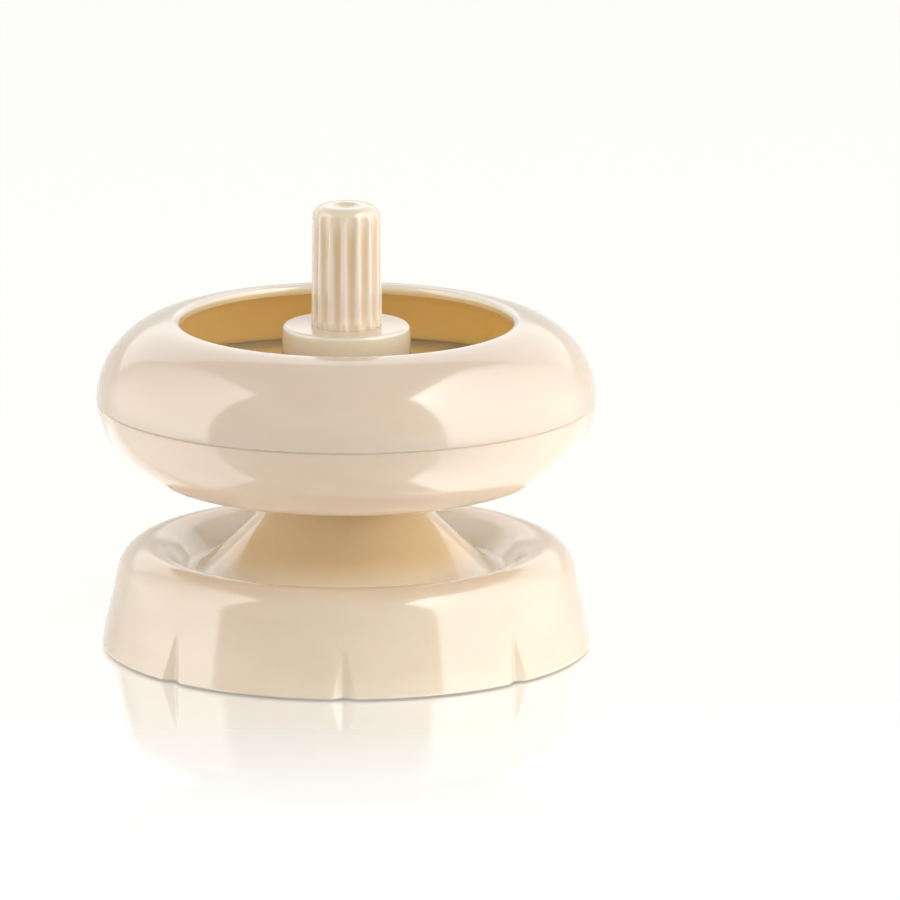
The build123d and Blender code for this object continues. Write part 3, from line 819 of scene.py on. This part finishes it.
# %% Upper shell of the bowl
inner_brow = BROW_RADIUS - BOWL_WALL
lip_turn = math.degrees(math.acos((MOUTH_RADIUS - BROW_CENTRE[0]) / BROW_RADIUS))
seam_up = SEAM_HEIGHT + SEAM_GROOVE
groove_wall = tongue + SEAM_GAP
groove_top = rim + SEAM_GAP
brow_start = rise_angle(BROW_CENTRE[1], BROW_RADIUS, seam_up)
brow_end = rise_angle(BROW_CENTRE[1], inner_brow, groove_top)
outer_brow = arc(*BROW_CENTRE, BROW_RADIUS, brow_start, lip_turn)
under_brow = arc(*BROW_CENTRE, inner_brow, lip_turn, brow_end)
upper_corners = [*outer_brow[:-1], (*outer_brow[-1], LIP_ROUND)]
upper_corners += [(*under_brow[0], LIP_UNDER_ROUND)]
upper_corners += under_brow[1:]
upper_corners += [(groove_wall, groove_top), (groove_wall, SEAM_HEIGHT)]
upper_corners += [(upper_corners[0][0] - SEAM_GROOVE, SEAM_HEIGHT)]
bowl_upper = sweep("bowl_upper_moulding", outline(upper_corners), even_turn(ROUND_STEPS))
bowl_upper.data.materials.append(lip_painted_highlight_abs)
# The faces inside the trough take the amber painted shade.
painted_shade_faces = paint_shade_inside(bowl_upper, TROUGH_HEART, SEAM_HEIGHT, well_painted_shade_abs)
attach(bowl_upper, "bowl")
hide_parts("bowl_upper")
print("upper shell faces:", len(bowl_upper.data.polygons), "of which inside:", painted_shade_faces)

# %% [markdown]
# ## Knob
# The knob is a slim finger grip with hollow flutes between narrow ridges, a domed top and a small
# dimple. Each flute is part of a round cut, and it fades out where the dome turns in. Fifteen
# cylinders could cut them. Moving the swept points gives the same hollows in one go and softens
# the ridge between two flutes, as a polished mould does.

# %% Flutes of the knob
KNOB_FOOT = (7.8, COLUMN_HEIGHT)
KNOB_TOP = COLUMN_HEIGHT + 26.8
KNOB_HEAD = (7.45, KNOB_TOP)
KNOB_ROUND = 2.9
KNOB_FOOT_ROUND = 0.15
DIMPLE_EDGE_ROUND = 0.5
DIMPLE_RADIUS = 2.8
DIMPLE_DEPTH = 0.9
FLUTE_COUNT = 15
FLUTE_RADIUS = 2.2
FLUTE_DEPTH = 0.5
FLUTE_TURN = math.radians(8.0)
RIDGE_SOFTNESS = 0.06
FLUTED_BEYOND = 5.5


def fluted(r, z, angle):
    """Cuts the flutes into the knob's side, with soft ridges between them."""
    if z < KNOB_FOOT[1] or r < FLUTED_BEYOND:
        return r
    pitch = 2 * math.pi / FLUTE_COUNT
    offset = (angle - FLUTE_TURN + math.pi / 2 + pitch / 2) % pitch - pitch / 2
    share = (z - KNOB_FOOT[1]) / (KNOB_TOP - KNOB_FOOT[1])
    side = KNOB_FOOT[0] + (KNOB_HEAD[0] - KNOB_FOOT[0]) * share
    centre = side - FLUTE_DEPTH + FLUTE_RADIUS
    room = FLUTE_RADIUS**2 - (centre * math.sin(offset)) ** 2
    if room <= 0:
        return r
    cut = centre * math.cos(offset) - math.sqrt(room)
    gap = (r - cut) / RIDGE_SOFTNESS
    return r - RIDGE_SOFTNESS * math.log1p(math.exp(min(gap, EXPONENT_LIMIT)))


print("flutes:", FLUTE_COUNT, "each", FLUTE_DEPTH, "mm deep")

# %% Knob
SIDE_STEPS = 12
STEPS_PER_FLUTE = 24
SPIGOT_RADIUS = 5.0
PILOT_RADIUS = 2.05
PILOT_TOP = COLUMN_HEIGHT + 10
ball_radius = (DIMPLE_RADIUS**2 + DIMPLE_DEPTH**2) / (2 * DIMPLE_DEPTH)
dimple_end = -90 + math.degrees(math.asin(DIMPLE_RADIUS / ball_radius))
dimple = arc(0, KNOB_TOP - DIMPLE_DEPTH + ball_radius, ball_radius, -90, dimple_end)
dimple[0] = (0, dimple[0][1])
head, foot = Vector(KNOB_HEAD), Vector(KNOB_FOOT)
sides = [tuple(head.lerp(foot, i / SIDE_STEPS)) for i in range(2, SIDE_STEPS)]
knob_corners = [*dimple[:-1], (*dimple[-1], DIMPLE_EDGE_ROUND), (*KNOB_HEAD, KNOB_ROUND)]
knob_corners += [*sides, (*KNOB_FOOT, KNOB_FOOT_ROUND)]
knob_corners += [(SPIGOT_RADIUS, COLUMN_HEIGHT), (SPIGOT_RADIUS, COLUMN_HEIGHT - TOP_WALL)]
knob_corners += [(PILOT_RADIUS, COLUMN_HEIGHT - TOP_WALL), (PILOT_RADIUS, PILOT_TOP), (0, PILOT_TOP)]
knob = sweep(
    "knob_moulding", outline(knob_corners, closed=False), even_turn(FLUTE_COUNT * STEPS_PER_FLUTE),
    closed=False, shape=fluted,
)
knob.data.materials.append(knob_painted_shade_and_highlight_abs)
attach(knob, "bowl")
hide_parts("knob")
print("knob faces:", len(knob.data.polygons))

# %% [markdown]
# ## Metal, nylon and rubber
# The pieces inside keep their built shape and only need a finish. Turned steel carries fine
# rings from the cutting tool, about a quarter of a millimetre apart. Bearing steel is ground and
# the balls are polished. Zinc-plated screws have a slightly blue, cloudy skin, and the retaining
# ring is blackened spring steel. The retainer and the cages are milky nylon, and the feet are
# black rubber with a fine matt grain. Metals keep the default IOR, because their colour sets how
# much they reflect. A wave texture at a scale of one repeats every 0.314 m, which gives the scale
# for a pitch in millimetres. Clouds of real plating are finer than this and are drawn coarser to
# show. One function makes all the steels, as they differ only in colour, gloss and rings.

# %% Metal material
RING_PITCH = 0.25 * MM
WAVE_REPEAT = 0.314
CLOUD_SIZE = 2.5 * MM
WORK_DEPTH = 0.02 * MM


def worked_steel(name, colour, cloudy, smooth, rough, rings=0.0):
    """Steel whose colour and gloss vary a little, with optional turning rings."""
    material, tree = new_material(name)
    place = add_node(tree, "ShaderNodeTexCoord")
    cloud = add_node(tree, "ShaderNodeTexNoise", inputs={"Scale": 1 / CLOUD_SIZE, "Detail": 4.0},
                     links={"Vector": place.outputs["Object"]})
    tone = add_node(tree, "ShaderNodeValToRGB", links={0: cloud.outputs[0]})
    first, last = tone.color_ramp.elements
    first.position, first.color = 0.35, hex_colour(cloudy)
    last.position, last.color = 0.65, hex_colour(colour)
    gloss = add_node(tree, "ShaderNodeMapRange", inputs={"To Min": smooth, "To Max": rough},
                     links={"Value": cloud.outputs[0]})
    wave = add_node(
        tree, "ShaderNodeTexWave", {"wave_type": "BANDS", "bands_direction": "Z"},
        inputs={"Scale": WAVE_REPEAT / RING_PITCH, "Distortion": 0.4},
        links={"Vector": place.outputs["Object"]},
    )
    bump = add_node(
        tree, "ShaderNodeBump", inputs={"Strength": 0.02 + rings, "Distance": WORK_DEPTH},
        links={"Height": wave.outputs["Fac"] if rings else cloud.outputs[0]},
    )
    body = add_node(
        tree, "ShaderNodeBsdfPrincipled", inputs={"Metallic": 1.0},
        links={
            "Base Color": tone.outputs[0],
            "Roughness": gloss.outputs[0],
            "Normal": bump.outputs[0],
        },
    )
    add_node(tree, "ShaderNodeOutputMaterial", links={"Surface": body.outputs[0]})
    return material


finishes = {
    "turned_steel": worked_steel("turned steel", "C9C6C0", "B8B5AE", 0.22, 0.34, rings=0.5),
    "bearing_steel": worked_steel("ground bearing steel", "CCCCCC", "BEBEBE", 0.14, 0.24),
    "polished_steel": worked_steel("polished steel balls", "D4D5D7", "CACBCD", 0.04, 0.08),
    "zinc_steel": worked_steel("zinc-plated steel", "CBD0D6", "B9BEC6", 0.25, 0.42),
    "spring_steel": worked_steel("blackened spring steel", "4A4A4D", "38383A", 0.35, 0.5),
}
print("steels:", len(finishes))


# %% Nylon and rubber
def moulded_soft(name, light, dark, ior, roughness, grain_mm, milky):
    """A matt moulded plastic or rubber with a fine grain."""
    material, tree = new_material(name)
    place = add_node(tree, "ShaderNodeTexCoord")
    grain = add_node(tree, "ShaderNodeTexNoise", inputs={"Scale": 1 / (grain_mm * MM), "Detail": 3.0},
                     links={"Vector": place.outputs["Object"]})
    tone = add_node(tree, "ShaderNodeValToRGB", links={0: grain.outputs[0]})
    first, last = tone.color_ramp.elements
    first.position, first.color = 0.3, hex_colour(dark)
    last.position, last.color = 0.7, hex_colour(light)
    bump = add_node(tree, "ShaderNodeBump", inputs={"Strength": 0.25, "Distance": 0.05 * MM},
                    links={"Height": grain.outputs[0]})
    body = add_node(
        tree, "ShaderNodeBsdfPrincipled",
        inputs={
            "IOR": ior,
            "Roughness": roughness,
            "Subsurface Weight": milky,
            "Subsurface Radius": (1.0, 0.9, 0.8),
            "Subsurface Scale": 1.5 * MM,
        },
        links={"Base Color": tone.outputs[0], "Normal": bump.outputs[0]},
    )
    add_node(tree, "ShaderNodeOutputMaterial", links={"Surface": body.outputs[0]})
    return material


finishes["white_nylon"] = moulded_soft("milky nylon", "EAE6DC", "DFDACE", 1.53, 0.42, 0.8, 0.2)
finishes["rubber_pad"] = moulded_soft("black rubber", "302F2E", "242322", 1.52, 0.75, 0.6, 0.0)
finishes["cream_abs"] = cream_abs
print("finishes:", sorted(finishes))

# %% Dress the carried-over pieces
dressed = 0
for subpart in frame["record"]["subparts"]:
    node = frame["nodes"][subpart["node"]]
    node.data.materials.clear()
    node.data.materials.append(finishes[subpart["material_slot"]])
    dressed += 1
print("nodes dressed:", dressed)
